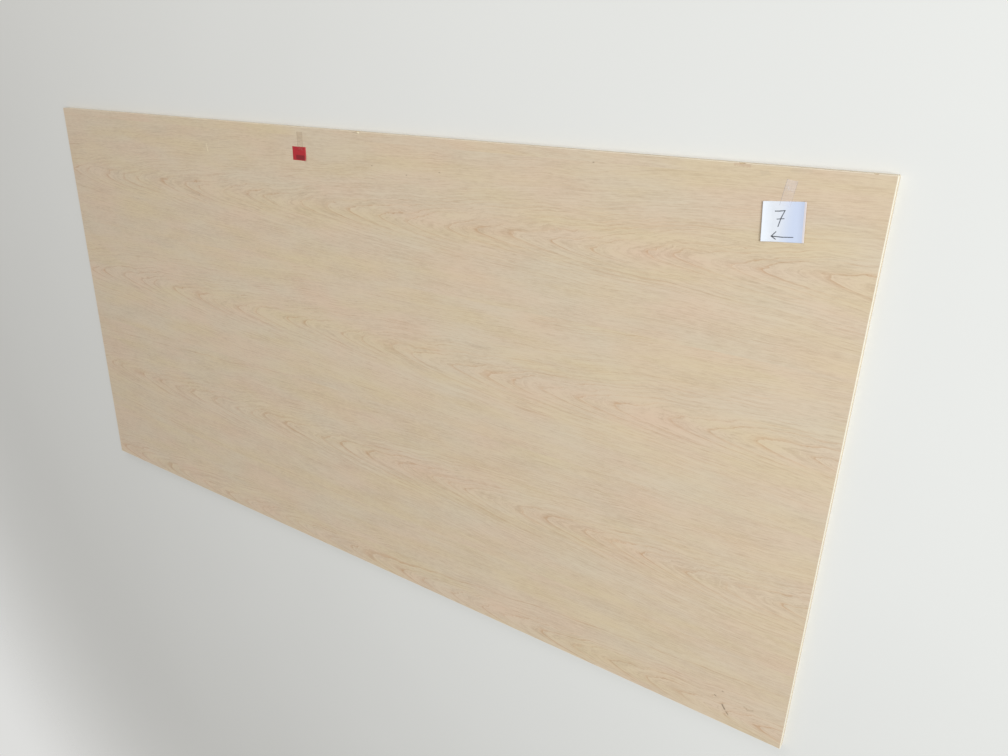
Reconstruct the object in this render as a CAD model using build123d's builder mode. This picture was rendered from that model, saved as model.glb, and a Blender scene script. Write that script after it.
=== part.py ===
"""Full-size plywood sheet lying flat, good face up, with the two paper slips taped to that face.

X runs along the sheet's length and its face grain, Y across it and Z up through its thickness.
The origin is the middle of the underside. All sizes are in millimetres, and angles in degrees.
"""

from build123d import *
from math import cos, degrees, radians, sin, sqrt
import os

# the sheet: a stock 8 ft by 4 ft panel, sold as 3/4 in thick
sheet_length = 2438.0
sheet_width = 1219.0
sheet_thickness = 18.0
corner_radius = 1.5
arris_radius = 0.4

# chips in the upper arris of the back long edge: distance from the right end, length, depth
edge_chips = (
    (1173.0, 16.0, 1.2),
    (254.0, 12.0, 1.5),
    (34.0, 8.0, 0.9),
)

# both slips are paper of one weight, and both are held by strips of one clear tape
paper_thickness = 0.15
tape_width = 19.0
tape_thickness = 0.06
tape_lap = 9.0
tape_ramp = 1.0

# red slip near the middle of the back long edge: its lower right corner has come unstuck
red_width = 48.0
red_height = 33.5
red_turn = 0.8
red_left_of_middle = 155.0
red_from_back_edge = 48.0
red_stuck_corner_free = 3.0
red_loose_corner_free = 15.0
red_curl_radius = 36.0
red_curl_turn = -38.0
red_tape_length = 45.0
red_tape_offset = 4.5
red_tape_turn = 0.0

# white note near the right end: both of its sides curl off the face
note_width = 75.0
note_height = 71.0
note_turn = 4.5
note_from_right_end = 171.0
note_from_back_edge = 58.5
note_left_free = 20.0
note_right_free = 16.0
note_curl_radius = 46.0
note_curl_turn = 2.0
note_tape_length = 46.0
note_tape_offset = 2.0
note_tape_turn = -8.5

back_edge_y = sheet_width / 2
right_end_x = sheet_length / 2


def on_face(place, turn):
    """Plane on the sheet's face at an X and Y, turned by an angle."""
    x_dir = (cos(radians(turn)), sin(radians(turn)), 0)
    return Plane(origin=(*place, sheet_thickness), x_dir=x_dir, z_dir=(0, 0, 1))


def curled_slip(width, height, back_middle, turn, left_free, right_free, curl_radius, curl_turn):
    """Paper slip that lies on the face in the middle and curls up round at two opposite sides.

    back_middle is the X and Y of the middle of its back edge. turn is its angle on the sheet, and
    curl_turn the angle of its curls on the slip. The free lengths are measured across the curls.
    """
    lying = on_face(back_middle, turn)
    middle = lying.from_local_coords((0, -height / 2, 0))
    across = Plane(origin=middle, x_dir=lying.x_dir, z_dir=lying.z_dir).rotated((0, 0, curl_turn))
    section = Plane(origin=middle, x_dir=across.x_dir, z_dir=-across.y_dir)

    slant = radians(abs(curl_turn))
    reach = (width * cos(slant) + height * sin(slant)) / 2
    left, right = left_free - reach, reach - right_free
    left_angle, right_angle = degrees(left_free / curl_radius), degrees(right_free / curl_radius)
    upper_radius = curl_radius - paper_thickness

    with BuildPart() as slip:
        with BuildSketch(section):
            with BuildLine():
                Line((left, 0), (right, 0))
                right_lower = CenterArc((right, curl_radius), curl_radius, 270, right_angle)
                right_upper = CenterArc((right, curl_radius), upper_radius, 270, right_angle)
                Line(right_lower @ 1, right_upper @ 1)
                Line((left, paper_thickness), (right, paper_thickness))
                left_lower = CenterArc((left, curl_radius), curl_radius, 270, -left_angle)
                left_upper = CenterArc((left, curl_radius), upper_radius, 270, -left_angle)
                Line(left_lower @ 1, left_upper @ 1)
            make_face()
        extrude(amount=width + height, both=True)
        with BuildSketch(Plane(middle, x_dir=lying.x_dir, z_dir=lying.z_dir)):
            Rectangle(width, height)
        extrude(amount=curl_radius, mode=Mode.INTERSECT)
    return slip


def tape_strip(back_middle, turn, offset, length, tape_turn):
    """Strip of clear tape that laps over the back edge of a slip and follows the step there.

    turn is the slip's angle on the sheet and tape_turn the strip's. offset is how far right of the
    middle of the slip's back edge the strip's middle crosses that edge.
    """
    lying = on_face(back_middle, turn)
    section = Plane(origin=lying.origin, x_dir=lying.y_dir, z_dir=lying.x_dir)
    crossing = lying.from_local_coords((offset, 0, 0))
    outline = on_face((crossing.X, crossing.Y), tape_turn)
    on_paper = paper_thickness + tape_thickness
    beyond = length + tape_width

    with BuildPart() as strip:
        with BuildSketch(section):
            with BuildLine():
                Polyline(
                    (beyond, 0),
                    (tape_ramp, 0),
                    (0, paper_thickness),
                    (-beyond, paper_thickness),
                    (-beyond, on_paper),
                    (0, on_paper),
                    (tape_ramp, tape_thickness),
                    (beyond, tape_thickness),
                    close=True,
                )
            make_face()
        extrude(amount=beyond, both=True)
        with BuildSketch(outline):
            with Locations((0, length / 2 - tape_lap)):
                Rectangle(tape_width, length)
        extrude(amount=tape_width, mode=Mode.INTERSECT)
    return strip


# one flat panel with worn arrises, and a shallow round bite out of the back arris for each chip
with BuildPart() as plywood_sheet:
    with BuildSketch():
        RectangleRounded(sheet_length, sheet_width, corner_radius)
    extrude(amount=sheet_thickness)
    fillet(edges().group_by(Axis.Z)[0] + edges().group_by(Axis.Z)[-1], radius=arris_radius)
    for from_right, chord, depth in edge_chips:
        bite_radius = (chord**2 / 4 + depth**2) / (2 * depth)
        stand_off = (bite_radius - depth) / sqrt(2)
        with Locations(
            (right_end_x - from_right, back_edge_y + stand_off, sheet_thickness + stand_off)
        ):
            Sphere(bite_radius, mode=Mode.SUBTRACT)

red_back_middle = (-red_left_of_middle, back_edge_y - red_from_back_edge)
red_slip = curled_slip(
    red_width,
    red_height,
    red_back_middle,
    red_turn,
    red_stuck_corner_free,
    red_loose_corner_free,
    red_curl_radius,
    red_curl_turn,
)
red_slip_tape = tape_strip(
    red_back_middle, red_turn, red_tape_offset, red_tape_length, red_tape_turn
)

note_back_middle = (right_end_x - note_from_right_end, back_edge_y - note_from_back_edge)
white_note = curled_slip(
    note_width,
    note_height,
    note_back_middle,
    note_turn,
    note_left_free,
    note_right_free,
    note_curl_radius,
    note_curl_turn,
)
white_note_tape = tape_strip(
    note_back_middle, note_turn, note_tape_offset, note_tape_length, note_tape_turn
)

pieces = {
    "plywood_sheet": plywood_sheet,
    "red_slip": red_slip,
    "red_slip_tape": red_slip_tape,
    "white_note": white_note,
    "white_note_tape": white_note_tape,
}

os.makedirs("parts", exist_ok=True)
for name, piece in pieces.items():
    piece.part.label = name
    export_step(piece.part, f"parts/{name}.step")
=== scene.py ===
# %% [markdown]
# # A full sheet of maple plywood
# The object is a stock 8 ft by 4 ft sheet, 18 mm thick, lying on a pale floor. A red slip and a white
# note are taped to its good face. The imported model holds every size, so each piece here is measured
# from it, and this script adds what the eye sees: veneer figure, glued plies, paper, film and wear.

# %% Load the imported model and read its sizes
import math

import bmesh
import bpy
from mathutils import Matrix, Vector, noise


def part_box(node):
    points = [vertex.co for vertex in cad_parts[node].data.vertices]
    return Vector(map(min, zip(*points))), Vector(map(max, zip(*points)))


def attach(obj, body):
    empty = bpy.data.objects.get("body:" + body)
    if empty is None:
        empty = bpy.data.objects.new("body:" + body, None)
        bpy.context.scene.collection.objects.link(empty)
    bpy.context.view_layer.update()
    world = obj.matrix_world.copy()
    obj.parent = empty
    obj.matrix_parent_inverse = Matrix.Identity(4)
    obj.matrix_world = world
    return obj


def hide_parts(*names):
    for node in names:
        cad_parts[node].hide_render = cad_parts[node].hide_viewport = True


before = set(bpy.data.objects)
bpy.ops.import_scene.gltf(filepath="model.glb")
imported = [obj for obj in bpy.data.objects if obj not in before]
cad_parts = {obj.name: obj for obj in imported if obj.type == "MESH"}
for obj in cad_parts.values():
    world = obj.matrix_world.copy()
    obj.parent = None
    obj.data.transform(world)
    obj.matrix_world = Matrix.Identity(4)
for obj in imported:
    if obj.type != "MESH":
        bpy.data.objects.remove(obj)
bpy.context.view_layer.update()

MM = 0.001
sheet_low, sheet_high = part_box("plywood_sheet")
length, width, thickness = sheet_high - sheet_low
right_end, back_edge, face_z = sheet_high
print(f"sheet {length:.3f} x {width:.3f} x {thickness:.3f} m")

# %% [markdown]
# ## Camera
# The photograph's four sheet corners give one place for a simple camera. The same place is kept
# relative to the sheet, which here lies flat, so its outline falls on the same pixels. The camera
# looks down along its own -Z, with the sheet's back edge up, and leans by a degree and a half.

# %% Camera
camera_at = Vector((1.379, 0.742, 1.4305))
camera_aims_at = Vector((0.4775, 0.085, face_z))
camera_lean = math.radians(1.64)

back = (camera_at - camera_aims_at).normalized()
right = Vector((0, 1, 0)).cross(back).normalized()
axes = Matrix((right, back.cross(right), back)).transposed().to_4x4()

camera = bpy.data.objects.new("camera", bpy.data.cameras.new("camera"))
camera.matrix_world = Matrix.Translation(camera_at) @ axes @ Matrix.Rotation(camera_lean, 4, "Z")
camera.data.sensor_width = 36
camera.data.lens = 27.54
bpy.context.scene.collection.objects.link(camera)
bpy.context.scene.camera = camera
print("camera is", round((camera_at - camera_aims_at).length, 2), "m from what it looks at")

# %% [markdown]
# ## Shader maths as sums
# A material is a graph of nodes, and most of them are arithmetic. `Wire` wraps a node's output, so
# that `1 - mask * 0.5` writes the Math nodes itself. `Graph` is a tree of nodes, and its one method
# `node` makes any other kind of node from its settings and what goes into its sockets. `Finish` is
# the graph of a material. The nodes could be placed and linked one by one by hand, but a sum is
# shorter, and can be read and changed as one.

# %% Wires
class Wire:
    """A number, colour or vector that varies over a surface: the output of a shader node."""

    def __init__(self, graph, socket):
        self.graph = graph
        self.socket = socket

    def maths(self, operation, *values):
        return self.graph.node("ShaderNodeMath", {"operation": operation}, dict(enumerate(values)))

    def __add__(self, other):
        return self.maths("ADD", self, other)

    def __radd__(self, other):
        return self.maths("ADD", other, self)

    def __sub__(self, other):
        return self.maths("SUBTRACT", self, other)

    def __rsub__(self, other):
        return self.maths("SUBTRACT", other, self)

    def __mul__(self, other):
        return self.maths("MULTIPLY", self, other)

    def __rmul__(self, other):
        return self.maths("MULTIPLY", other, self)

    def __truediv__(self, other):
        return self.maths("DIVIDE", self, other)

    def __pow__(self, other):
        return self.maths("POWER", self, other)

    def floor(self):
        return self.maths("FLOOR", self)

    def fraction(self):
        return self.maths("FRACT", self)

    def size(self):
        return self.maths("ABSOLUTE", self)

    def least(self, other):
        return self.maths("MINIMUM", self, other)

    def most(self, other):
        return self.maths("MAXIMUM", self, other)

    def step(self, start, end):
        """0 before start and 1 past end, with a soft step between. start may be the larger one."""
        sockets = {"Value": self, "From Min": start, "From Max": end}
        return self.graph.node("ShaderNodeMapRange", {"interpolation_type": "SMOOTHSTEP"}, sockets)

    def within(self, low, high, soft):
        """1 between two values and 0 outside them, with a soft step this wide just inside each."""
        return self.step(low, low + soft) * self.step(high, high - soft)


# %% Graphs and finishes
class Graph:
    """A tree of shader nodes, of a material or of the world."""

    def __init__(self, tree):
        self.tree = tree

    def node(self, kind, settings, sockets, output=0):
        """Adds a node of this kind, and returns one of its outputs, by number or name."""
        made = self.tree.nodes.new(kind)
        for key, value in settings.items():
            setattr(made, key, value)
        for key, value in sockets.items():
            self.feed(made.inputs[key], value)
        return Wire(self, made.outputs[output])

    def feed(self, socket, value):
        """Links a wire to a socket, or sets the socket's own value."""
        if isinstance(value, Wire):
            self.tree.links.new(value.socket, socket)
        else:
            socket.default_value = value


class Finish(Graph):
    """A material and the nodes that drive its one Principled shader."""

    def __init__(self, name, **plain):
        self.material = bpy.data.materials.new(name)
        self.material.use_nodes = True
        super().__init__(self.material.node_tree)
        self.shader = self.tree.nodes["Principled BSDF"]
        for socket, value in plain.items():
            self.shader.inputs[socket.replace("_", " ")].default_value = value
        self.place = self.node("ShaderNodeTexCoord", {}, {}, "Object")
        self.x, self.y, self.z = (
            self.node("ShaderNodeSeparateXYZ", {}, {0: self.place}, axis) for axis in "XYZ"
        )

    def point(self, x, y, z=0.0):
        return self.node("ShaderNodeCombineXYZ", {}, {"X": x, "Y": y, "Z": z})

    def cloud(self, at, detail, rough=0.5):
        """Soft noise of one unit's scale at a point, centred on 0 and mostly within 0.3 of it."""
        sockets = {"Vector": at, "Scale": 1.0, "Detail": detail, "Roughness": rough}
        return self.node("ShaderNodeTexNoise", {}, sockets) - 0.5

    def blend(self, amount, first, second):
        """A colour that turns from the first to the second as amount goes from 0 to 1."""
        sockets = {0: amount, 6: first, 7: second}
        return self.node("ShaderNodeMix", {"data_type": "RGBA"}, sockets, 2)

    def wear(self, colour, roughness=None, height=None, relief=0.0, alpha=None):
        """Joins what varies to the shader. height times relief, in metres, is the bump's depth."""
        self.feed(self.shader.inputs["Base Color"], colour)
        if roughness is not None:
            self.feed(self.shader.inputs["Roughness"], roughness)
        if alpha is not None:
            self.feed(self.shader.inputs["Alpha"], alpha)
        if height is not None:
            bump = self.node("ShaderNodeBump", {}, {"Height": height, "Distance": relief})
            self.feed(self.shader.inputs["Normal"], bump)
        print(self.material.name, "has", len(self.tree.nodes), "nodes")


# %% [markdown]
# Colours are written as the 0 to 255 levels that the eye sees on a screen. A shader reckons in
# amounts of light instead, so each colour is turned into those once, by the screen's own curve.

# %% Colours
def seen(red, green, blue):
    """The shader's colour for one that the eye sees as these 0 to 255 levels."""
    levels = (level / 255 for level in (red, green, blue))
    return (*(s / 12.92 if s <= 0.04045 else ((s + 0.055) / 1.055) ** 2.4 for s in levels), 1.0)


def moved(levels, *steps):
    """The shader's colour for these levels, each moved by its own step."""
    return seen(*(level + step for level, step in zip(levels, steps)))


def darkened(levels, *shares):
    """The shader's colour for these levels, each times its own share."""
    return seen(*(level * share for level, share in zip(levels, shares)))


# %% [markdown]
# ## Floor
# A plain pale floor takes the sheet's shadow. It could be one flat plane with an edge, but then a
# horizon would show, so its alpha fades away from the sheet into a backdrop of the same tone.

# %% Floor
floor_fades_from, floor_gone_at = 2.0, 4.4
floor_finish = Finish("pale_floor", Roughness=0.95, Specular_IOR_Level=0.15)
floor_tone = floor_finish.cloud(floor_finish.point(floor_finish.x * 1.3, floor_finish.y * 1.3), 4)
floor_colour = floor_finish.blend(floor_tone + 0.5, seen(226, 226, 224), seen(231, 231, 229))
from_middle = (floor_finish.x * floor_finish.x + floor_finish.y * floor_finish.y) ** 0.5
floor_finish.wear(floor_colour, alpha=from_middle.step(floor_gone_at, floor_fades_from))

floor_shape = bmesh.new()
bmesh.ops.create_grid(floor_shape, x_segments=1, y_segments=1, size=5)
floor_mesh = bpy.data.meshes.new("floor")
floor_shape.to_mesh(floor_mesh)
floor_shape.free()
floor_mesh.materials.append(floor_finish.material)
floor = bpy.data.objects.new("floor", floor_mesh)
bpy.context.scene.collection.objects.link(floor)

# %% [markdown]
# ## Light
# The light is a soft studio one: an even sky, one large lamp beyond the right end, which lights that
# end the most, as daylight from one side does, and a weak lamp behind, so that the back edge isn't
# lost in shade. What the camera and gloss see past the floor is a plain backdrop instead of
# that sky. So the backdrop can be pale with no more light on the sheet, whose colours stay as written.

# %% Lights
def soft_lamp(name, at, aims_at, size, watts, colour, spread=180):
    """A large rectangular lamp. spread is the angle that it shines over, in degrees."""
    lamp = bpy.data.objects.new(name, bpy.data.lights.new(name, "AREA"))
    lamp.data.shape = "RECTANGLE"
    lamp.data.size, lamp.data.size_y = size
    lamp.data.energy = watts
    lamp.data.color = colour
    lamp.data.spread = math.radians(spread)
    lamp.location = at
    lamp.rotation_euler = (Vector(aims_at) - Vector(at)).to_track_quat("-Z", "Y").to_euler()
    bpy.context.scene.collection.objects.link(lamp)


soft_lamp("key_light", (4.5, 0.9, 3.6), (0.3, 0.1, 0.0), (3.0, 2.4), 80, (0.93, 0.98, 1.0), 110)
soft_lamp("fill_light", (-0.2, 3.6, 1.8), (0.0, 0.4, 0.0), (3.4, 1.6), 28, (1.0, 0.985, 0.96))

world = bpy.data.worlds.new("even_sky")
world.use_nodes = True
sky = Graph(world.node_tree)


def ray(kind):
    """1 where the world is looked up for this kind of ray, and 0 elsewhere."""
    return sky.node("ShaderNodeLightPath", {}, {}, kind)


backdrop_shows = ray("Is Camera Ray").most(ray("Is Glossy Ray")).most(ray("Is Transmission Ray"))
sky_colour, sky_strength = (1.0, 0.975, 0.935, 1.0), 0.445
lit_by = sky.node("ShaderNodeBackground", {}, {"Color": sky_colour, "Strength": sky_strength})
backdrop = sky.node("ShaderNodeBackground", {}, {"Color": seen(222, 222, 220)})
either = sky.node("ShaderNodeMixShader", {}, {0: backdrop_shows, 1: lit_by, 2: backdrop})
sky.feed(world.node_tree.nodes["World Output"].inputs["Surface"], either)
bpy.context.scene.world = world
bpy.context.scene.view_settings.view_transform = "Standard"
print("two lamps and an even sky, which the camera and gloss see as a pale backdrop")

# %% [markdown]
# ## Maple veneer
# The face is plain-sliced maple: leaves about a third of a metre wide lie side by side, and in each
# the growth rings are cut into long arches along a heart line. A ring is where the distance along
# the leaf, less a curve that rises away from the heart line, has one value. So the figure is one
# sum, bent by noise, whose whole numbers are the rings. The arches point to the left end, and the
# rings are the most jagged at their noses. Blender's Wave texture makes rings too, but they can't
# fold round a heart line as these do.

# %% Veneer figure
leaf_pitch = 334 * MM
jagged_width = 60 * MM
first_joint = 21 * MM
arch_pitch = 95 * MM
arch_slope = 2.7
arch_nose = 7 * MM
arch_flare = 78.0


def leaf_of(y):
    """Number of the veneer leaf, counted from the back edge, and the distance from its heart line."""
    count = (back_edge - y - first_joint) / leaf_pitch
    number = count.floor()
    return number, (count - number - 0.5) * leaf_pitch


def figure_of(finish, x, y):
    """The growth rings as a count that rises by one from ring to ring, and the heart distance."""
    number, off_heart = leaf_of(y)
    apart = number * 3.7
    wander = finish.cloud(finish.point(x * 1.6, apart), 2)
    ripple = finish.cloud(finish.point(x * 6.5, y * 15, apart), 2)
    ragged = finish.cloud(finish.point(x * 22, y * 70, apart), 3, 0.62)
    jagged = 0.3 + 0.7 * (1 - (off_heart.size() / jagged_width).least(1.0))
    across = off_heart + wander * 50 * MM + ripple * 20 * MM + ragged * jagged * 15 * MM
    rise = ((across * across + arch_nose**2) ** 0.5) * arch_slope + across * across * arch_flare
    along = x + ripple * 90 * MM + ragged * jagged * 46 * MM + number * 0.37
    rings = (along - rise) / arch_pitch
    uneven = finish.cloud(finish.point(rings * 0.8, apart), 1) * 1.8
    return rings + uneven, across, number


print(f"leaves {leaf_pitch:.3f} m wide, with a ring about every {arch_pitch:.3f} m along them")

# %% [markdown]
# The eye reads maple through faint things laid over each other: a thin, darker and redder line at
# the end of each ring, a fainter grain that follows the rings, silky fibre along the leaf, short
# flecks, and broad pink and straw-coloured clouds. Each is weak alone, because real maple is a quiet
# wood. A picture of a real board would show that one board only, and these sums give another board
# for each shift.

# %% Maple face
heart_band = 46 * MM


def maple(name, pale, figure=1.0, shift=0.0):
    """A maple veneer finish and its colour, roughness and height, which marks may still change.

    pale is the wood between the rings, figure how strongly these show, and shift picks another log.
    """
    finish = Finish(name, Roughness=0.5)
    x, y = finish.x + shift, finish.y + shift * 0.13
    rings, across, number = figure_of(finish, x, y)
    part = rings.fraction()
    near_heart = 1 - (across.size() / heart_band).least(1.0)
    patchy = finish.cloud(finish.point(x * 9, y * 26, number), 3) * 2.4 + 0.5 + near_heart * 0.3
    late_wood = (part**12 * 0.85 + part**3 * 0.20) * part.step(1.0, 0.97)
    late_wood = late_wood * patchy.most(0.1).least(1.1)
    grain = finish.cloud(finish.point(rings * 9, x * 9, across * 12 + number), 4, 0.75)
    dashes = finish.cloud(finish.point(x * 48, y * 300, 5.0), 3, 0.65)
    silk = finish.cloud(finish.point(x * 9, y * 210, 3.0), 3, 0.65)
    fibre = finish.cloud(finish.point(x * 40, y * 1300, 0.0), 3, 0.65)
    flecks = finish.cloud(finish.point(x * 330, y * 2600, 7.0), 1).step(0.12, 0.26)
    broad = finish.cloud(finish.point(x * 7, y * 22, number + 9), 3, 0.6)
    dark = late_wood * 0.36 + grain + broad * 0.34
    dark = dark * figure + dashes * 0.55 + silk * 0.28 + fibre * 0.36 + flecks * 0.20
    pink = finish.cloud(finish.point(x * 4, y * 10, number), 3).step(-0.2, 0.25)
    pink = pink * 0.75 + near_heart * figure * 0.25
    tone = finish.blend(pink, moved(pale, -1, 0, 0), moved(pale, 4, -5, -6))
    straw = finish.cloud(finish.point(x * 3, y * 16, number + 4), 3).step(-0.15, 0.3)
    tone = finish.blend(straw, tone, moved(pale, 1, -1, -10))
    leaf_tone = finish.node("ShaderNodeTexWhiteNoise", {"noise_dimensions": "1D"}, {"W": number}) - 0.5
    dark = (dark + leaf_tone * 0.05 + 0.06).most(0.0).least(1.0)
    colour = finish.blend(dark, tone, darkened(pale, 0.68, 0.57, 0.46))
    colour = finish.blend(late_wood * figure * 0.48, colour, darkened(pale, 0.96, 0.80, 0.66))
    height = 0.5 - fibre * 0.5 - late_wood * 0.25 - flecks * 0.5
    roughness = 0.45 + fibre * 0.2 + late_wood * 0.06
    return finish, colour, roughness, height


# %% [markdown]
# ## Marks on the face
# A stored sheet picks up small marks: a scuff near the lower right corner, dark rubs to its right, a
# few dirt specks, a pale rub, grey smudges, and at the back arris a reddish-brown spot, a splinter and
# a crack. Each is a short stroke at its own place, given in millimetres from the sheet's left end and
# back edge, as they would be measured with a tape. So a few numbers place each mark, and noise makes
# its outline ragged. A painted picture could do it too, but it would have to be a file of its own.

# %% Strokes
def from_corner(across, down):
    """X and Y of a place given in mm from the left end and the back edge."""
    return sheet_low.x + across * MM, back_edge - down * MM


def strokes(finish, lines, widen, ragged, lumps=600):
    """1 along lines on the face, each a start, an end and a radius in mm, and 0 past their rims.

    widen scales the radii, ragged is how far the rims stray in mm, and lumps how closely they do.
    """
    rim = finish.cloud(finish.point(finish.x * lumps, finish.y * lumps), 3) * ragged * MM
    masks = []
    for start, end, radius in lines:
        (ax, ay), (bx, by) = from_corner(*start), from_corner(*end)
        dx, dy = bx - ax, by - ay
        px, py = finish.x - ax, finish.y - ay
        share = ((px * dx + py * dy) / (dx * dx + dy * dy)).most(0.0).least(1.0)
        ex, ey = px - share * dx, py - share * dy
        off_line = (ex * ex + ey * ey) ** 0.5 + rim
        masks.append(off_line.step(radius * widen * MM, radius * widen * 0.3 * MM))
    return sum(masks).least(1.0)


# %% Places of the marks
scuff_strokes = (
    ((2282, 1151), (2286, 1153), 1.1),
    ((2302, 1169), (2309, 1179), 2.4),
    ((2313, 1184), (2318, 1190), 1.4),
)
rub_strokes = (((2349, 1149), (2358, 1155), 1.6), ((2358, 1155), (2369, 1150), 1.5))
speck_places = ((1306, 75), (1508, 74), (1412, 88), (2298, 1133), (1890, 22), (640, 210))
dirt_specks = [((x, y), (x + 2.0, y), 2.0) for x, y in speck_places]
pale_rub = (((699, 66), (702, 84), 2.6),)
smudges = (((2221, 13), (2230, 15), 6.5), ((2274, 5), (2299, 5), 6.5))
# A reddish-brown spot over the second chip.
reddish_spot = (((2172, 2.5), (2198, 4.0), 4.0),)
splinter = (((1264, 1.0), (1269, 2.2), 2.6),)
crack = (((1246, 1.6), (1264, 3.6), 1.2),)
print(len(scuff_strokes), "gouges in the scuff and", len(dirt_specks), "dirt specks")

# %% [markdown]
# Dirt and bruises catch on the fibre, so most marks are broken up along it: `caught` is 1 where they
# hold. Each mark is then a mask and a colour, and they are laid over the wood one after another.

# %% The good face and its marks
good_face, face_colour, face_roughness, face_height = maple("maple_good_face", (215, 199, 176))
caught = good_face.cloud(good_face.point(good_face.x * 160, good_face.y * 1300, 8.0), 3, 0.7)
caught = (caught * 3.0 + 0.8).most(0.0).least(1.0)
scuffed = strokes(good_face, scuff_strokes, 0.7, 3.2, 620)
bruised = strokes(good_face, scuff_strokes, 2.2, 4.0, 300)
rubbed = strokes(good_face, rub_strokes, 1.8, 5.0, 380)
specks = strokes(good_face, dirt_specks, 1.0, 3.0, 700)
smudged = strokes(good_face, smudges, 1.0, 14.0, 160)
reddish_at_chip = strokes(good_face, reddish_spot, 1.0, 9.0, 260)
rubbed_pale = strokes(good_face, pale_rub, 1.0, 4.0)
marks = (
    (bruised * 0.26, (150, 128, 100)),
    (scuffed * (0.4 + caught * 0.45), (92, 78, 62)),
    (rubbed * caught * 0.36, (140, 116, 88)),
    (specks * caught * 0.6, (118, 94, 74)),
    (smudged * 0.10, (140, 132, 122)),
    (reddish_at_chip * caught * 0.36, (176, 132, 112)),
    (rubbed_pale * 0.5, (240, 228, 198)),
)
for mask, mark_colour in marks:
    face_colour = good_face.blend(mask, face_colour, seen(*mark_colour))
print(len(marks), "kinds of marks on the face")

# %% [markdown]
# Along its arrises the sheet is painted paler, partly as sanded wear and partly as a painted highlight,
# the most at the right end, which the lamp lights the most. Where the back arris is chipped, torn wood
# of a fresher colour shows. Each chip is a bite that a ball takes out of the arris, so one sum says
# where it is, for the colour here and for the shape later.

# %% Sanded and highlighted arrises, and torn chips
chips = ((1173, 16, 1.2), (254, 12, 1.5), (34, 8, 0.9))  # mm from the right end, length, depth


def bite_of(from_right, chord, depth):
    """Middle and radius of the ball that takes a chip out of the back arris, from sizes in mm."""
    radius = (chord**2 / 4 + depth**2) / (2 * depth) * MM
    stand_off = (radius - depth * MM) / math.sqrt(2)
    return Vector((right_end - from_right * MM, back_edge + stand_off, face_z + stand_off)), radius


to_end = right_end - good_face.x
to_edge = to_end.least(good_face.x - sheet_low.x).least(back_edge - good_face.y)
to_edge = to_edge.least(good_face.y - sheet_low.y)
# Sanded wear with a painted highlight: the arrises paler, and the right end, which the lamp lights most,
# palest.
sanded_and_highlight = to_edge.step(1.6 * MM, 0.4 * MM) * 0.4 + to_end.step(2.6 * MM, 1.2 * MM) * 0.55
face_colour = good_face.blend(sanded_and_highlight, face_colour, seen(255, 250, 234))
torn_wood = good_face.blend(caught, seen(226, 204, 164), seen(168, 134, 96))
for from_right, chord, depth in chips:
    middle, radius = bite_of(from_right, chord, depth)
    sockets = {0: good_face.place, 1: middle}
    away = good_face.node("ShaderNodeVectorMath", {"operation": "DISTANCE"}, sockets, "Value")
    torn = away.step(radius + 1.2 * MM, radius + 0.9 * MM)
    torn = torn * (face_z - good_face.z).step(0.04 * MM, 0.16 * MM)
    torn = torn * (good_face.x - middle.x).size().step(chord * 0.56 * MM, chord * 0.46 * MM)
    face_colour = good_face.blend(torn, face_colour, torn_wood)
splintered = strokes(good_face, splinter, 1.0, 3.0, 900) * (0.5 + caught * 0.45)
cracked = strokes(good_face, crack, 1.0, 1.8, 700) * caught * 0.6
face_colour = good_face.blend(cracked, face_colour, seen(126, 102, 72))
face_colour = good_face.blend(splintered, face_colour, seen(252, 242, 212))
face_relief = 0.05 * MM
good_face.wear(face_colour, face_roughness + smudged * 0.08, face_height, face_relief)

# %% [markdown]
# ## Back veneer
# The back of such a sheet is a plainer leaf of the same wood, a little darker and less figured. It
# needs no finish of its own: the same function makes it, with a darker tone, from another log.

# %% Back face
back_finish = maple("maple_back_face", (202, 184, 154), figure=0.6, shift=7.3)
back_face, back_colour, back_roughness, back_height = back_finish
back_relief = 0.07 * MM
back_face.wear(back_colour, back_roughness + 0.08, back_height, back_relief)

# %% [markdown]
# ## Edges of the plies
# Seven plies are glued crosswise, so an edge shows them in turn: where the wood runs along the edge
# it is pale and streaked, and where it runs into the edge its cut ends are darker and pitted. Between
# them is a hair of brown glue. One coordinate runs along any edge, because on a straight edge the
# other one stands still. The saw leaves fine upright scores, so those depend on that one alone. Each
# ply could be a board of its own, but only its edge shows, so three finishes on one mesh do it.

# %% Core plies and glue
def ply_edge(name, pale, along_scale, across_scale, pits, depth):
    """Finish of one ply's sawn edge. pits is how open its wood is, and depth the relief in metres."""
    finish = Finish(name, Roughness=0.8, Specular_IOR_Level=0.2)
    along = finish.x + finish.y
    streak = finish.cloud(finish.point(along * along_scale, finish.z * across_scale, 1.0), 3, 0.65)
    broad = finish.cloud(finish.point(along * 5, finish.z * 150, 2.0), 3)
    scores = finish.cloud(finish.point(along * 380, finish.z * 9, 3.0), 2)
    pitted = finish.cloud(finish.point(along * 1500, finish.z * 3300, 4.0), 1).step(0.12, 0.32) * pits
    dark = streak * 0.9 + broad * 0.8 + scores * 0.30 + pitted * 0.16 + 0.30
    shaded = darkened(pale, 0.72, 0.62, 0.51)
    colour = finish.blend(dark.most(0.0).least(1.0), seen(*pale), shaded)
    finish.wear(colour, 0.78 + streak * 0.2, streak * 0.6 + scores - pitted * 0.8, depth)
    return finish


long_grain = ply_edge("core_ply_long_grain", (247, 240, 221), 13, 1300, 0.2, 0.08 * MM)
end_grain = ply_edge("core_ply_end_grain", (234, 221, 195), 150, 1500, 1.0, 0.14 * MM)
glue_line = ply_edge("glue_line", (190, 164, 128), 90, 600, 0.3, 0.05 * MM)

# %% [markdown]
# ## The sheet
# The panel is one glued board, so it is one mesh. It starts as a box. Its corners and arrises are
# rounded by bevels, then planes cut it: one set at the glue lines and inside each ply, and one coarse
# set over the faces. Only then are the long edge cells divided, so the detail goes where the shape
# changes. A fine grid all over would do it too, but with a hundred times the faces.

# %% Box with round corners and arrises
corner_radius = 1.5 * MM
arris_radius = 0.4 * MM

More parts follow.
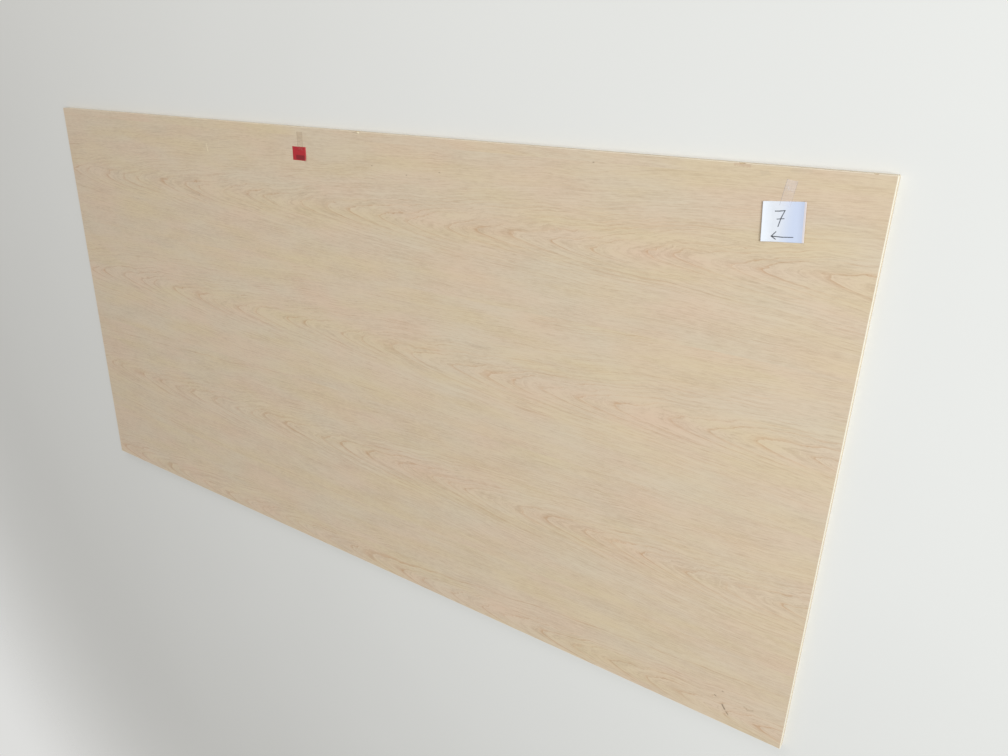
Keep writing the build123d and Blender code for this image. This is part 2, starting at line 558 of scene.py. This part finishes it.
panel = bmesh.new()
bmesh.ops.create_cube(panel, size=1)
bmesh.ops.scale(panel, vec=(length, width, thickness), verts=panel.verts)
bmesh.ops.translate(panel, vec=(0, 0, thickness / 2), verts=panel.verts)


def run(edge):
    """The way from an edge's first end to its second."""
    return edge.verts[1].co - edge.verts[0].co


bevel_way = {"segments": 3, "profile": 0.5, "affect": "EDGES", "material": -1}
upright = [e for e in panel.edges if abs(run(e).z) > thickness / 2]
bmesh.ops.bevel(panel, geom=upright, offset=corner_radius, offset_type="OFFSET", **bevel_way)
level = [e for e in panel.edges if abs(run(e).z) < arris_radius and e.calc_face_angle() > 1]
bmesh.ops.bevel(panel, geom=level, offset=arris_radius, offset_type="OFFSET", **bevel_way)
print(len(panel.faces), "faces after the bevels")


# %% Cuts at the plies and over the faces
face_ply = 0.6 * MM
core_plies = 5
core_ply = (thickness - 2 * face_ply) / core_plies
glue_half = 0.09 * MM
glue_heights = [face_ply + i * core_ply for i in range(core_plies + 1)]
coarse_cell = 61 * MM


def cut(shape, at, way, faces=None):
    """Cuts all of a shape, or only these faces of it, along a plane. Returns the faces it leaves."""
    faces = shape.faces[:] if faces is None else faces
    edges = list({edge for face in faces for edge in face.edges})
    verts = list({vertex for face in faces for vertex in face.verts})
    geom = verts + edges + faces
    left = bmesh.ops.bisect_plane(shape, geom=geom, dist=1e-6, plane_co=at, plane_no=way)["geom"]
    return [part for part in left if isinstance(part, bmesh.types.BMFace)]


for height in glue_heights:
    for offset in (-glue_half, 0.0, glue_half):
        cut(panel, (0, 0, height + offset), (0, 0, 1))
for i in range(core_plies):
    for share in (0.33, 0.67):
        cut(panel, (0, 0, face_ply + (i + share) * core_ply), (0, 0, 1))
columns, rows = round(length / coarse_cell), round(width / coarse_cell)
for i in range(1, columns):
    cut(panel, (-length / 2 + i * length / columns, 0, 0), (1, 0, 0))
for i in range(1, rows):
    cut(panel, (0, -width / 2 + i * width / rows, 0), (0, 1, 0))
print(len(panel.faces), "faces after the cuts")


# %% Divide the long cells of the edges
def on_wall(vertex, within):
    """Whether a vertex is this near to one of the sheet's four edges."""
    return abs(vertex.co.x) > length / 2 - within or abs(vertex.co.y) > width / 2 - within


wall_cell = 4 * MM
by_cuts = {}
for edge in panel.edges:
    line = run(edge)
    if abs(line.z) < 1e-6 and all(on_wall(v, 0.5 * MM) for v in edge.verts):
        parts = round(line.length / wall_cell)
        if parts > 1 and (abs(line.x) < 1e-6 or abs(line.y) < 1e-6):
            by_cuts.setdefault(parts - 1, []).append(edge)
for cuts, edges in by_cuts.items():
    bmesh.ops.subdivide_edges(panel, edges=edges, cuts=cuts, use_grid_fill=True)
print(len(panel.faces), "faces after the edges are divided")


# %% [markdown]
# Small damage needs a fine mesh, but only where it is. So each damaged place gets a box: the panel
# is cut along the box's sides, and after that only the faces inside the box are cut further.

# %% Fine mesh where the damage is
def refine(shape, low, high, cell):
    """Cuts what lies between two corners into cells of about this size."""
    def touches(face):
        return all(
            min(v.co[i] for v in face.verts) < high[i] and max(v.co[i] for v in face.verts) > low[i]
            for i in range(3)
        )

    def inside(face):
        middle = face.calc_center_median()
        return all(low[i] < middle[i] < high[i] for i in range(3))

    faces = [face for face in shape.faces if touches(face)]
    for axis in range(3):
        for side in (low, high):
            faces = cut(shape, side, [float(i == axis) for i in range(3)], faces)
    faces = [face for face in faces if inside(face)]
    for axis in range(3):
        steps = round((high[axis] - low[axis]) / cell)
        for i in range(1, steps):
            at = [low[j] + (high[j] - low[j]) * i / steps for j in range(3)]
            faces = cut(shape, at, [float(i == axis) for i in range(3)], faces)


chip_cell, scuff_cell = 0.3 * MM, 0.9 * MM
for from_right, chord, depth in chips:
    chip_x, reach = right_end - from_right * MM, (chord / 2 + 2.5) * MM
    chip_low = (chip_x - reach, back_edge - 3.6 * MM, face_z - 3.6 * MM)
    refine(panel, chip_low, (chip_x + reach, back_edge + MM, face_z + MM), chip_cell)
scuff_low = (*from_corner(2277, 1196), face_z - 0.1 * MM)
refine(panel, scuff_low, (*from_corner(2323, 1146), face_z + 0.1 * MM), scuff_cell)
print(len(panel.faces), "faces with the fine places")

# %% [markdown]
# The finishes go on by face. The height of a face's middle says which ply it is on, and the edge that
# it lies on says whether that ply shows its long grain or its cut ends there.

# %% Give each face its finish
finishes = (good_face, back_face, long_grain, end_grain, glue_line)
GOOD, BACK, LONG, END, GLUE = range(len(finishes))


def outward(co):
    """The way out of the sheet from a point on one of its four edges."""
    if length / 2 - abs(co.x) < width / 2 - abs(co.y):
        return Vector((math.copysign(1, co.x), 0, 0))
    return Vector((0, math.copysign(1, co.y), 0))


def ply_of(z):
    """Number of the ply at this height, from 0 at the back face."""
    return sum(z > height for height in glue_heights)


def is_end_grain(ply, way):
    """Odd plies run along Y, so they end at the long edges, and the even ones at the ends."""
    return (ply % 2 == 1) == (way.x == 0)


for face in panel.faces:
    middle = face.calc_center_median()
    inner = min(middle.z, thickness - middle.z)
    if abs(face.normal.z) > 0.9 or inner < face_ply - glue_half * 2:
        face.material_index = GOOD if middle.z > thickness / 2 else BACK
        continue
    face.smooth = True
    if min(abs(middle.z - height) for height in glue_heights) < glue_half:
        face.material_index = GLUE
    else:
        face.material_index = END if is_end_grain(ply_of(middle.z), outward(middle)) else LONG
for place, finish in enumerate(finishes):
    print(sum(f.material_index == place for f in panel.faces), "faces of", finish.material.name)

# %% [markdown]
# A sawn edge isn't flat. Cut ends of fibre sink a little, the glue lies in a fine groove, the plies
# wander up and down, and the arris is worn. A bump in the finish would leave the outline straight, so
# the points themselves move. Every move is inwards, so the sheet keeps its size.

# %% Relief on the edges
end_grain_sinks, long_grain_sinks, glue_sinks = 0.11, 0.06, 0.13  # in mm


def soft_noise(co, scale, seed):
    """Noise from -1 to 1 at a place, with bumps about one over scale metres long."""
    return noise.noise(Vector((co.x * scale, co.y * scale, seed)))


moves = []
for vertex in panel.verts:
    co = vertex.co
    if not on_wall(vertex, 0.3 * MM):
        continue
    way = outward(co)
    inner = min(co.z, thickness - co.z)
    ply = ply_of(co.z)
    nearest = min(abs(co.z - height) for height in glue_heights)
    sunk = end_grain_sinks if is_end_grain(ply, way) else long_grain_sinks
    sunk += abs(soft_noise(co, 45, ply * 5.0)) * 0.10 + abs(soft_noise(co, 6, ply * 3.0)) * 0.12
    if nearest < glue_half * 0.5:
        sunk = glue_sinks
    worn = max(0, soft_noise(co, 40, round(co.z / thickness) * 9.0) - 0.3)
    depth = sunk * min(1, inner / (0.6 * MM)) + worn * max(0, 1 - inner / (0.5 * MM)) * 0.3
    free = min(1, max(0, inner - 1.2 * MM) / (2 * MM))
    lift = soft_noise(co, 9, round(co.z / core_ply) * 3.1) * 0.40 * free
    moves.append((vertex, (Vector((0, 0, lift)) - way * depth) * MM))
for vertex, move in moves:
    vertex.co += move
print(len(moves), "points of the edges moved")

# %% [markdown]
# The chips are shallow bites out of the back arris, where something knocked the veneer off. Wood
# tears along its fibres, so their surface gets ridges that run along X. The scuff is three short
# gouges, each an uneven groove pressed into the face near its lower right corner. Both could be cut
# with Boolean solids, but torn wood has no clean rim, so the points there are moved instead.

# %% Chips and scuff
gouge_depth = 0.35 * MM

for middle, radius in (bite_of(*chip) for chip in chips):
    for vertex in panel.verts:
        away = vertex.co - middle
        here = radius + noise.noise(Vector((vertex.co.x * 420, vertex.co.y * 300, 4.0))) * 0.35 * MM
        if away.length < here:
            ridges = noise.noise(Vector((vertex.co.x * 90, vertex.co.y * 1300, vertex.co.z * 1300)))
            torn = abs(ridges) * 1.1 * MM * min(1, (here - away.length) / (0.2 * MM))
            vertex.co = middle + away.normalized() * (here + torn)

scuff_verts = [v for v in panel.verts if abs(v.co.z - face_z) < 1e-6 and v.co.x > right_end - 0.2]
for vertex in scuff_verts:
    place = vertex.co.xy
    for start, end, radius in scuff_strokes:
        a, b = Vector(from_corner(*start)), Vector(from_corner(*end))
        share = min(1, max(0, (place - a).dot(b - a) / (b - a).length_squared))
        off = (place - a - (b - a) * share).length / (radius * 0.8 * MM)
        uneven = 0.7 + noise.noise(Vector((place.x * 500, place.y * 500, 2.0))) * 0.6
        if off < 1:
            vertex.co.z -= gouge_depth * uneven * (1 - off * off)

fine_area = (1.2 * MM) ** 2
for face in panel.faces:
    if face.calc_center_median().z > face_z - 4 * MM and face.calc_area() < fine_area:
        face.smooth = True
print(len(chips), "chips and", len(scuff_verts), "points under the scuff")


# %% Make the sheet a piece
def add_piece(name, shape, finishes, slot, *nodes):
    """Makes an object of a bmesh, which rides on the body and stands for these nodes."""
    mesh = bpy.data.meshes.new(name)
    shape.to_mesh(mesh)
    shape.free()
    for finish in finishes:
        mesh.materials.append(finish.material)
    piece = bpy.data.objects.new(name, mesh)
    bpy.context.scene.collection.objects.link(piece)
    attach(piece, "root")
    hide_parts(*nodes)
    print(name, "has", sum(len(p.vertices) - 2 for p in mesh.polygons), "triangles")


add_piece("maple_plywood_sheet", panel, finishes, "maple_plywood", "plywood_sheet")

# %% [markdown]
# ## Slips of paper
# Both slips were cut flat, and bend because one side of the paper took up damp. So each is a flat
# grid that is bent: where it is free of the face it follows an arc, and the arc's pull fades and
# swells a little along the sheet of paper. It is then thickened downwards from its upper side. Bent
# this way, the paper keeps its own length, which a flat sheet pulled up at its sides wouldn't.

# %% Bend a slip
paper_thickness = 0.15  # in mm, as all sizes of the slips


def ways(turn):
    """The directions along and away from an edge that is turned on the sheet by some degrees."""
    angle = math.radians(turn)
    return Vector((math.cos(angle), math.sin(angle))), Vector((-math.sin(angle), math.cos(angle)))


def bent_slip(place, size, free, curl_radius, curl_turn, cells, wobble):
    """A paper slip as a bmesh, with its lengths in mm.

    free is how much of it is loose at left and right, curl_turn the angle of its curls on the slip,
    and wobble picks its waviness.
    """
    back_middle, turn = place
    slip = bmesh.new()
    bmesh.ops.create_grid(slip, x_segments=cells[0], y_segments=cells[1], size=0.5)
    bmesh.ops.scale(slip, vec=(*size, 1), verts=slip.verts)
    slant = math.radians(curl_turn)
    reach = (size[0] * math.cos(slant) + size[1] * math.sin(abs(slant))) / 2
    along = Vector((math.cos(slant), math.sin(slant), 0))
    for vertex in slip.verts:
        s = vertex.co.dot(along)
        loose = max(s - (reach - free[1]), (free[0] - reach) - s, 0)
        angle = loose / curl_radius
        pull = 0.90 + 0.10 * noise.noise(Vector((vertex.co.x * 0.05, vertex.co.y * 0.06, wobble)))
        vertex.co -= along * math.copysign(loose - curl_radius * math.sin(angle), s)
        vertex.co.z = curl_radius * (1 - math.cos(angle)) * pull
    bmesh.ops.solidify(slip, geom=slip.faces[:], thickness=-paper_thickness)
    low = min(vertex.co.z for vertex in slip.verts)
    bmesh.ops.translate(slip, vec=(0, -size[1] / 2, -low), verts=slip.verts)
    turned = Matrix.Rotation(math.radians(turn), 3, "Z")
    bmesh.ops.rotate(slip, cent=(0, 0, 0), matrix=turned, verts=slip.verts)
    bmesh.ops.scale(slip, vec=(MM, MM, MM), verts=slip.verts)
    bmesh.ops.translate(slip, vec=(*back_middle, face_z), verts=slip.verts)
    bmesh.ops.recalc_face_normals(slip, faces=slip.faces)
    for face in slip.faces:
        face.smooth = face.calc_area() > (0.3 * MM) ** 2
    return slip


# %% [markdown]
# Paper is felted fibre: its colour is even, with a faint cloudiness, and light catches single fibres.
# The pen's line is a stroke like the marks on the wood, with ink that thins where the pen moved fast.

# %% Paper
def paper(name, pale, shade, ink=(), painted_shade_colour=None):
    """A paper finish, its colour and its felt. A last colour, if given, is a painted shade towards the
    right side.
    """
    finish = Finish(name, Roughness=0.8)
    felt = finish.cloud(finish.point(finish.x * 900, finish.y * 900, finish.z * 900), 3, 0.7)
    cloudy = finish.cloud(finish.point(finish.x * 70, finish.y * 70, 2.0), 2)
    shaded = (felt * 0.5 + cloudy * 1.2 + 0.4).most(0.0).least(1.0)
    colour = finish.blend(shaded, seen(*pale), seen(*shade))
    if painted_shade_colour:
        # Painted shade: the paper turns bluer and darker towards its right side, where its curl faces
        # from the light.
        painted_shade_towards_right = finish.x.step(right_end - 184 * MM, right_end - 148 * MM)
        colour = finish.blend(painted_shade_towards_right, colour, seen(*painted_shade_colour))
    if ink:
        flow = (finish.cloud(finish.point(finish.x * 90, finish.y * 90, 6.0), 3) * 0.7 + 0.95).least(1.0)
        drawn = strokes(finish, ink, 1.0, 0.7) * flow
        colour = finish.blend(drawn, colour, seen(34, 38, 48))
    return finish, colour, felt


# %% Places on the slips
red_place = (Vector((-155 * MM, back_edge - 48 * MM)), 0.8)
note_place = (Vector((right_end - 171 * MM, back_edge - 58.5 * MM)), 4.5)


def from_slip(finish, place, offset, turn=None):
    """Distances along and away from a slip's back edge, or in another direction from a point on it."""
    back_middle, slip_turn = place
    ax, ay = back_middle + ways(slip_turn)[0] * offset
    along, away = ways(slip_turn if turn is None else turn)
    dx, dy = finish.x - ax, finish.y - ay
    return dx * along.x + dy * along.y, dx * away.x + dy * away.y


print("the note's back edge is turned by", note_place[1], "degrees")

# %% [markdown]
# The note has a painted shade towards its right side, bluer and darker, and a pale pink strip runs
# down near that side. A number and an arrow are drawn on it in pen. The red slip has a plain darker
# panel, and a painted highlight, a paler pink strip, along its loose side. Each is one more mask on
# the paper, so one function serves both slips.

# %% The white note's finish
arrow = (
    ((2252.5, 121.0), (2272, 120.6), 1.25),
    ((2272, 120.6), (2290, 118.6), 1.1),
    ((2252.5, 121.0), (2259.5, 112.4), 1.25),
    ((2252.5, 121.0), (2260.5, 125.6), 1.2),
)
pen_number = (
    ((2253.0, 76.8), (2261, 76.0), 1.2),
    ((2261, 76.0), (2269.5, 74.2), 1.25),
    ((2269.5, 74.2), (2264.6, 88), 1.25),
    ((2264.6, 88), (2261.6, 103), 1.2),
    ((2258, 90.3), (2270, 88.2), 1.05),
)
# The last colour is a painted shade, bluer and darker, towards the note's right side.
white_paper, white_colour, white_felt = paper(
    "white_paper", (231, 234, 241), (222, 227, 237), arrow + pen_number, (205, 215, 238)
)
right_of_middle = from_slip(white_paper, note_place, 0.0)[0]
# A pale pink strip runs down near the note's right side.
pale_pink_strip = right_of_middle.step(33.4 * MM, 34.2 * MM)
white_colour = white_paper.blend(pale_pink_strip * 0.7, white_colour, seen(243, 229, 224))
white_paper.wear(white_colour, 0.82 + white_felt * 0.2, white_felt, 0.03 * MM)

# %% The red slip's finish
red_paper, red_colour, red_felt = paper("red_paper", (182, 36, 46), (164, 28, 38))
from_left, from_back = red_paper.x - sheet_low.x, back_edge - red_paper.y
dark_panel = from_left.within(1051.5 * MM, 1082.5 * MM, MM) * from_back.within(68 * MM, 80 * MM, MM)
red_colour = red_paper.blend(dark_panel * 0.8, red_colour, seen(116, 20, 28))
# Painted highlight: a paler pink strip along the slip's loose side, where its curled edge would catch
# the light.
painted_highlight_side = from_slip(red_paper, red_place, 0.0)[0].step(19.0 * MM, 22.5 * MM)
red_colour = red_paper.blend(painted_highlight_side * 0.5, red_colour, seen(218, 100, 98))
red_paper.wear(red_colour, 0.72 + red_felt * 0.2, red_felt, 0.03 * MM)

# %% Red slip and white note
red_size, note_size = (48, 33.5), (75, 71)
red_shape = bent_slip(red_place, red_size, (3, 15), 36, -38, (48, 34), 1.7)
note_shape = bent_slip(note_place, note_size, (20, 16), 46, 2, (75, 71), 5.2)
add_piece("red_slip_of_paper", red_shape, [red_paper], "red_paper", "red_slip")
add_piece("white_note_of_paper", note_shape, [white_paper], "white_paper", "white_note")

# %% [markdown]
# ## Clear tape
# A strip of thin film holds each slip: it lies on the wood, steps up over the paper's edge and lies
# on the paper. Its ends are torn off against a saw-toothed cutter, so they are cut into small teeth.
# The film shows by its gloss, its rims and a few flat bubbles, where it takes a paler tone. It shows
# more at its far end, which is coming loose, and less over the paper. Glass would bend the light and
# take long to render, so the film is a thin tint that its alpha lets through. Both the mesh and the
# finish are laid out from the place where the strip crosses the slip's back edge.

# %% Film of the tape
tape_width = 19 * MM


def film(name, place, offset, turn, length, tint, strength):
    """The finish of a strip, laid out as tape_strip lays its shape. strength is its usual alpha."""
    finish = Finish(name, Roughness=0.22)
    side, out = from_slip(finish, place, offset * MM, turn)
    rim = (tape_width / 2 - side.size()).step(0.9 * MM, 0.2 * MM)
    left_rim = (side + tape_width / 2).step(1.0 * MM, 0.3 * MM)
    bubbles = finish.cloud(finish.point(side * 150, out * 75, 1.0), 3, 0.6).step(0.08, 0.20)
    ripples = finish.cloud(finish.point(side * 300, out * 60, 2.0), 2)
    loose = out.step(length * 0.3 * MM, length * 0.5 * MM)
    pale = [level + (255 - level) * 0.45 for level in tint]
    dark = [level * 0.74 for level in tint]
    colour = finish.blend(bubbles * out.step(0.0, 1 * MM), seen(*tint), seen(*pale))
    colour = finish.blend(rim, colour, seen(*dark))
    lapped = out.step(0.5 * MM, -1.5 * MM)
    shows = 0.7 + 0.6 * loose + rim * 0.9 + left_rim * 1.5 + bubbles
    alpha = strength * shows * (1 - lapped * 0.4)
    finish.wear(colour, 0.2 + bubbles * 0.2, ripples, 0.05 * MM, alpha)
    return finish


# %% Shape of the tape
tape_lap = 9 * MM
film_thickness = 0.06 * MM


def tape_strip(place, offset, turn, length, teeth=16):
    """A strip of film whose front end laps over a slip at this place. Lengths are in mm."""
    back_middle, slip_turn = place
    edge, off_edge = ways(slip_turn)
    side, out = ways(turn)
    strip = bmesh.new()
    bmesh.ops.create_grid(strip, x_segments=teeth * 2, y_segments=90, size=0.5)
    for vertex in strip.verts:
        u, v = vertex.co.xy
        tooth = round((u + 0.5) * teeth * 2) % 2
        far = v * length * MM + length / 2 * MM - tape_lap
        if abs(v) > 0.499 and tooth:
            far -= math.copysign(0.42 * MM, v)
        spot = back_middle + edge * offset * MM + side * u * tape_width + out * far
        climb = min(1, max(0, 1 - (spot - back_middle).dot(off_edge) / MM))
        raised = paper_thickness * MM * climb * climb * (3 - 2 * climb)
        height = face_z + film_thickness + raised
        vertex.co = (*spot, height)
    bmesh.ops.solidify(strip, geom=strip.faces[:], thickness=-film_thickness * 0.9)
    bmesh.ops.recalc_face_normals(strip, faces=strip.faces)
    return strip


# %% Both strips
red_tape = (red_place, 4.5, 0.0, 45)  # place, offset along the slip's edge, turn and length
note_tape = (note_place, 2.0, -8.5, 46)
# One clear tape with two tints: the note strip's pale lavender tint is a painted reflection, and the red
# strip's darker brown a painted shade.
red_film = film("tape_film_on_wood_and_red", *red_tape, (190, 165, 136), 0.07)
note_film = film("tape_film_on_wood_and_white", *note_tape, (250, 244, 250), 0.10)
add_piece("clear_tape_on_red_slip", tape_strip(*red_tape), [red_film], "clear_tape", "red_slip_tape")
add_piece("clear_tape_on_note", tape_strip(*note_tape), [note_film], "clear_tape", "white_note_tape")
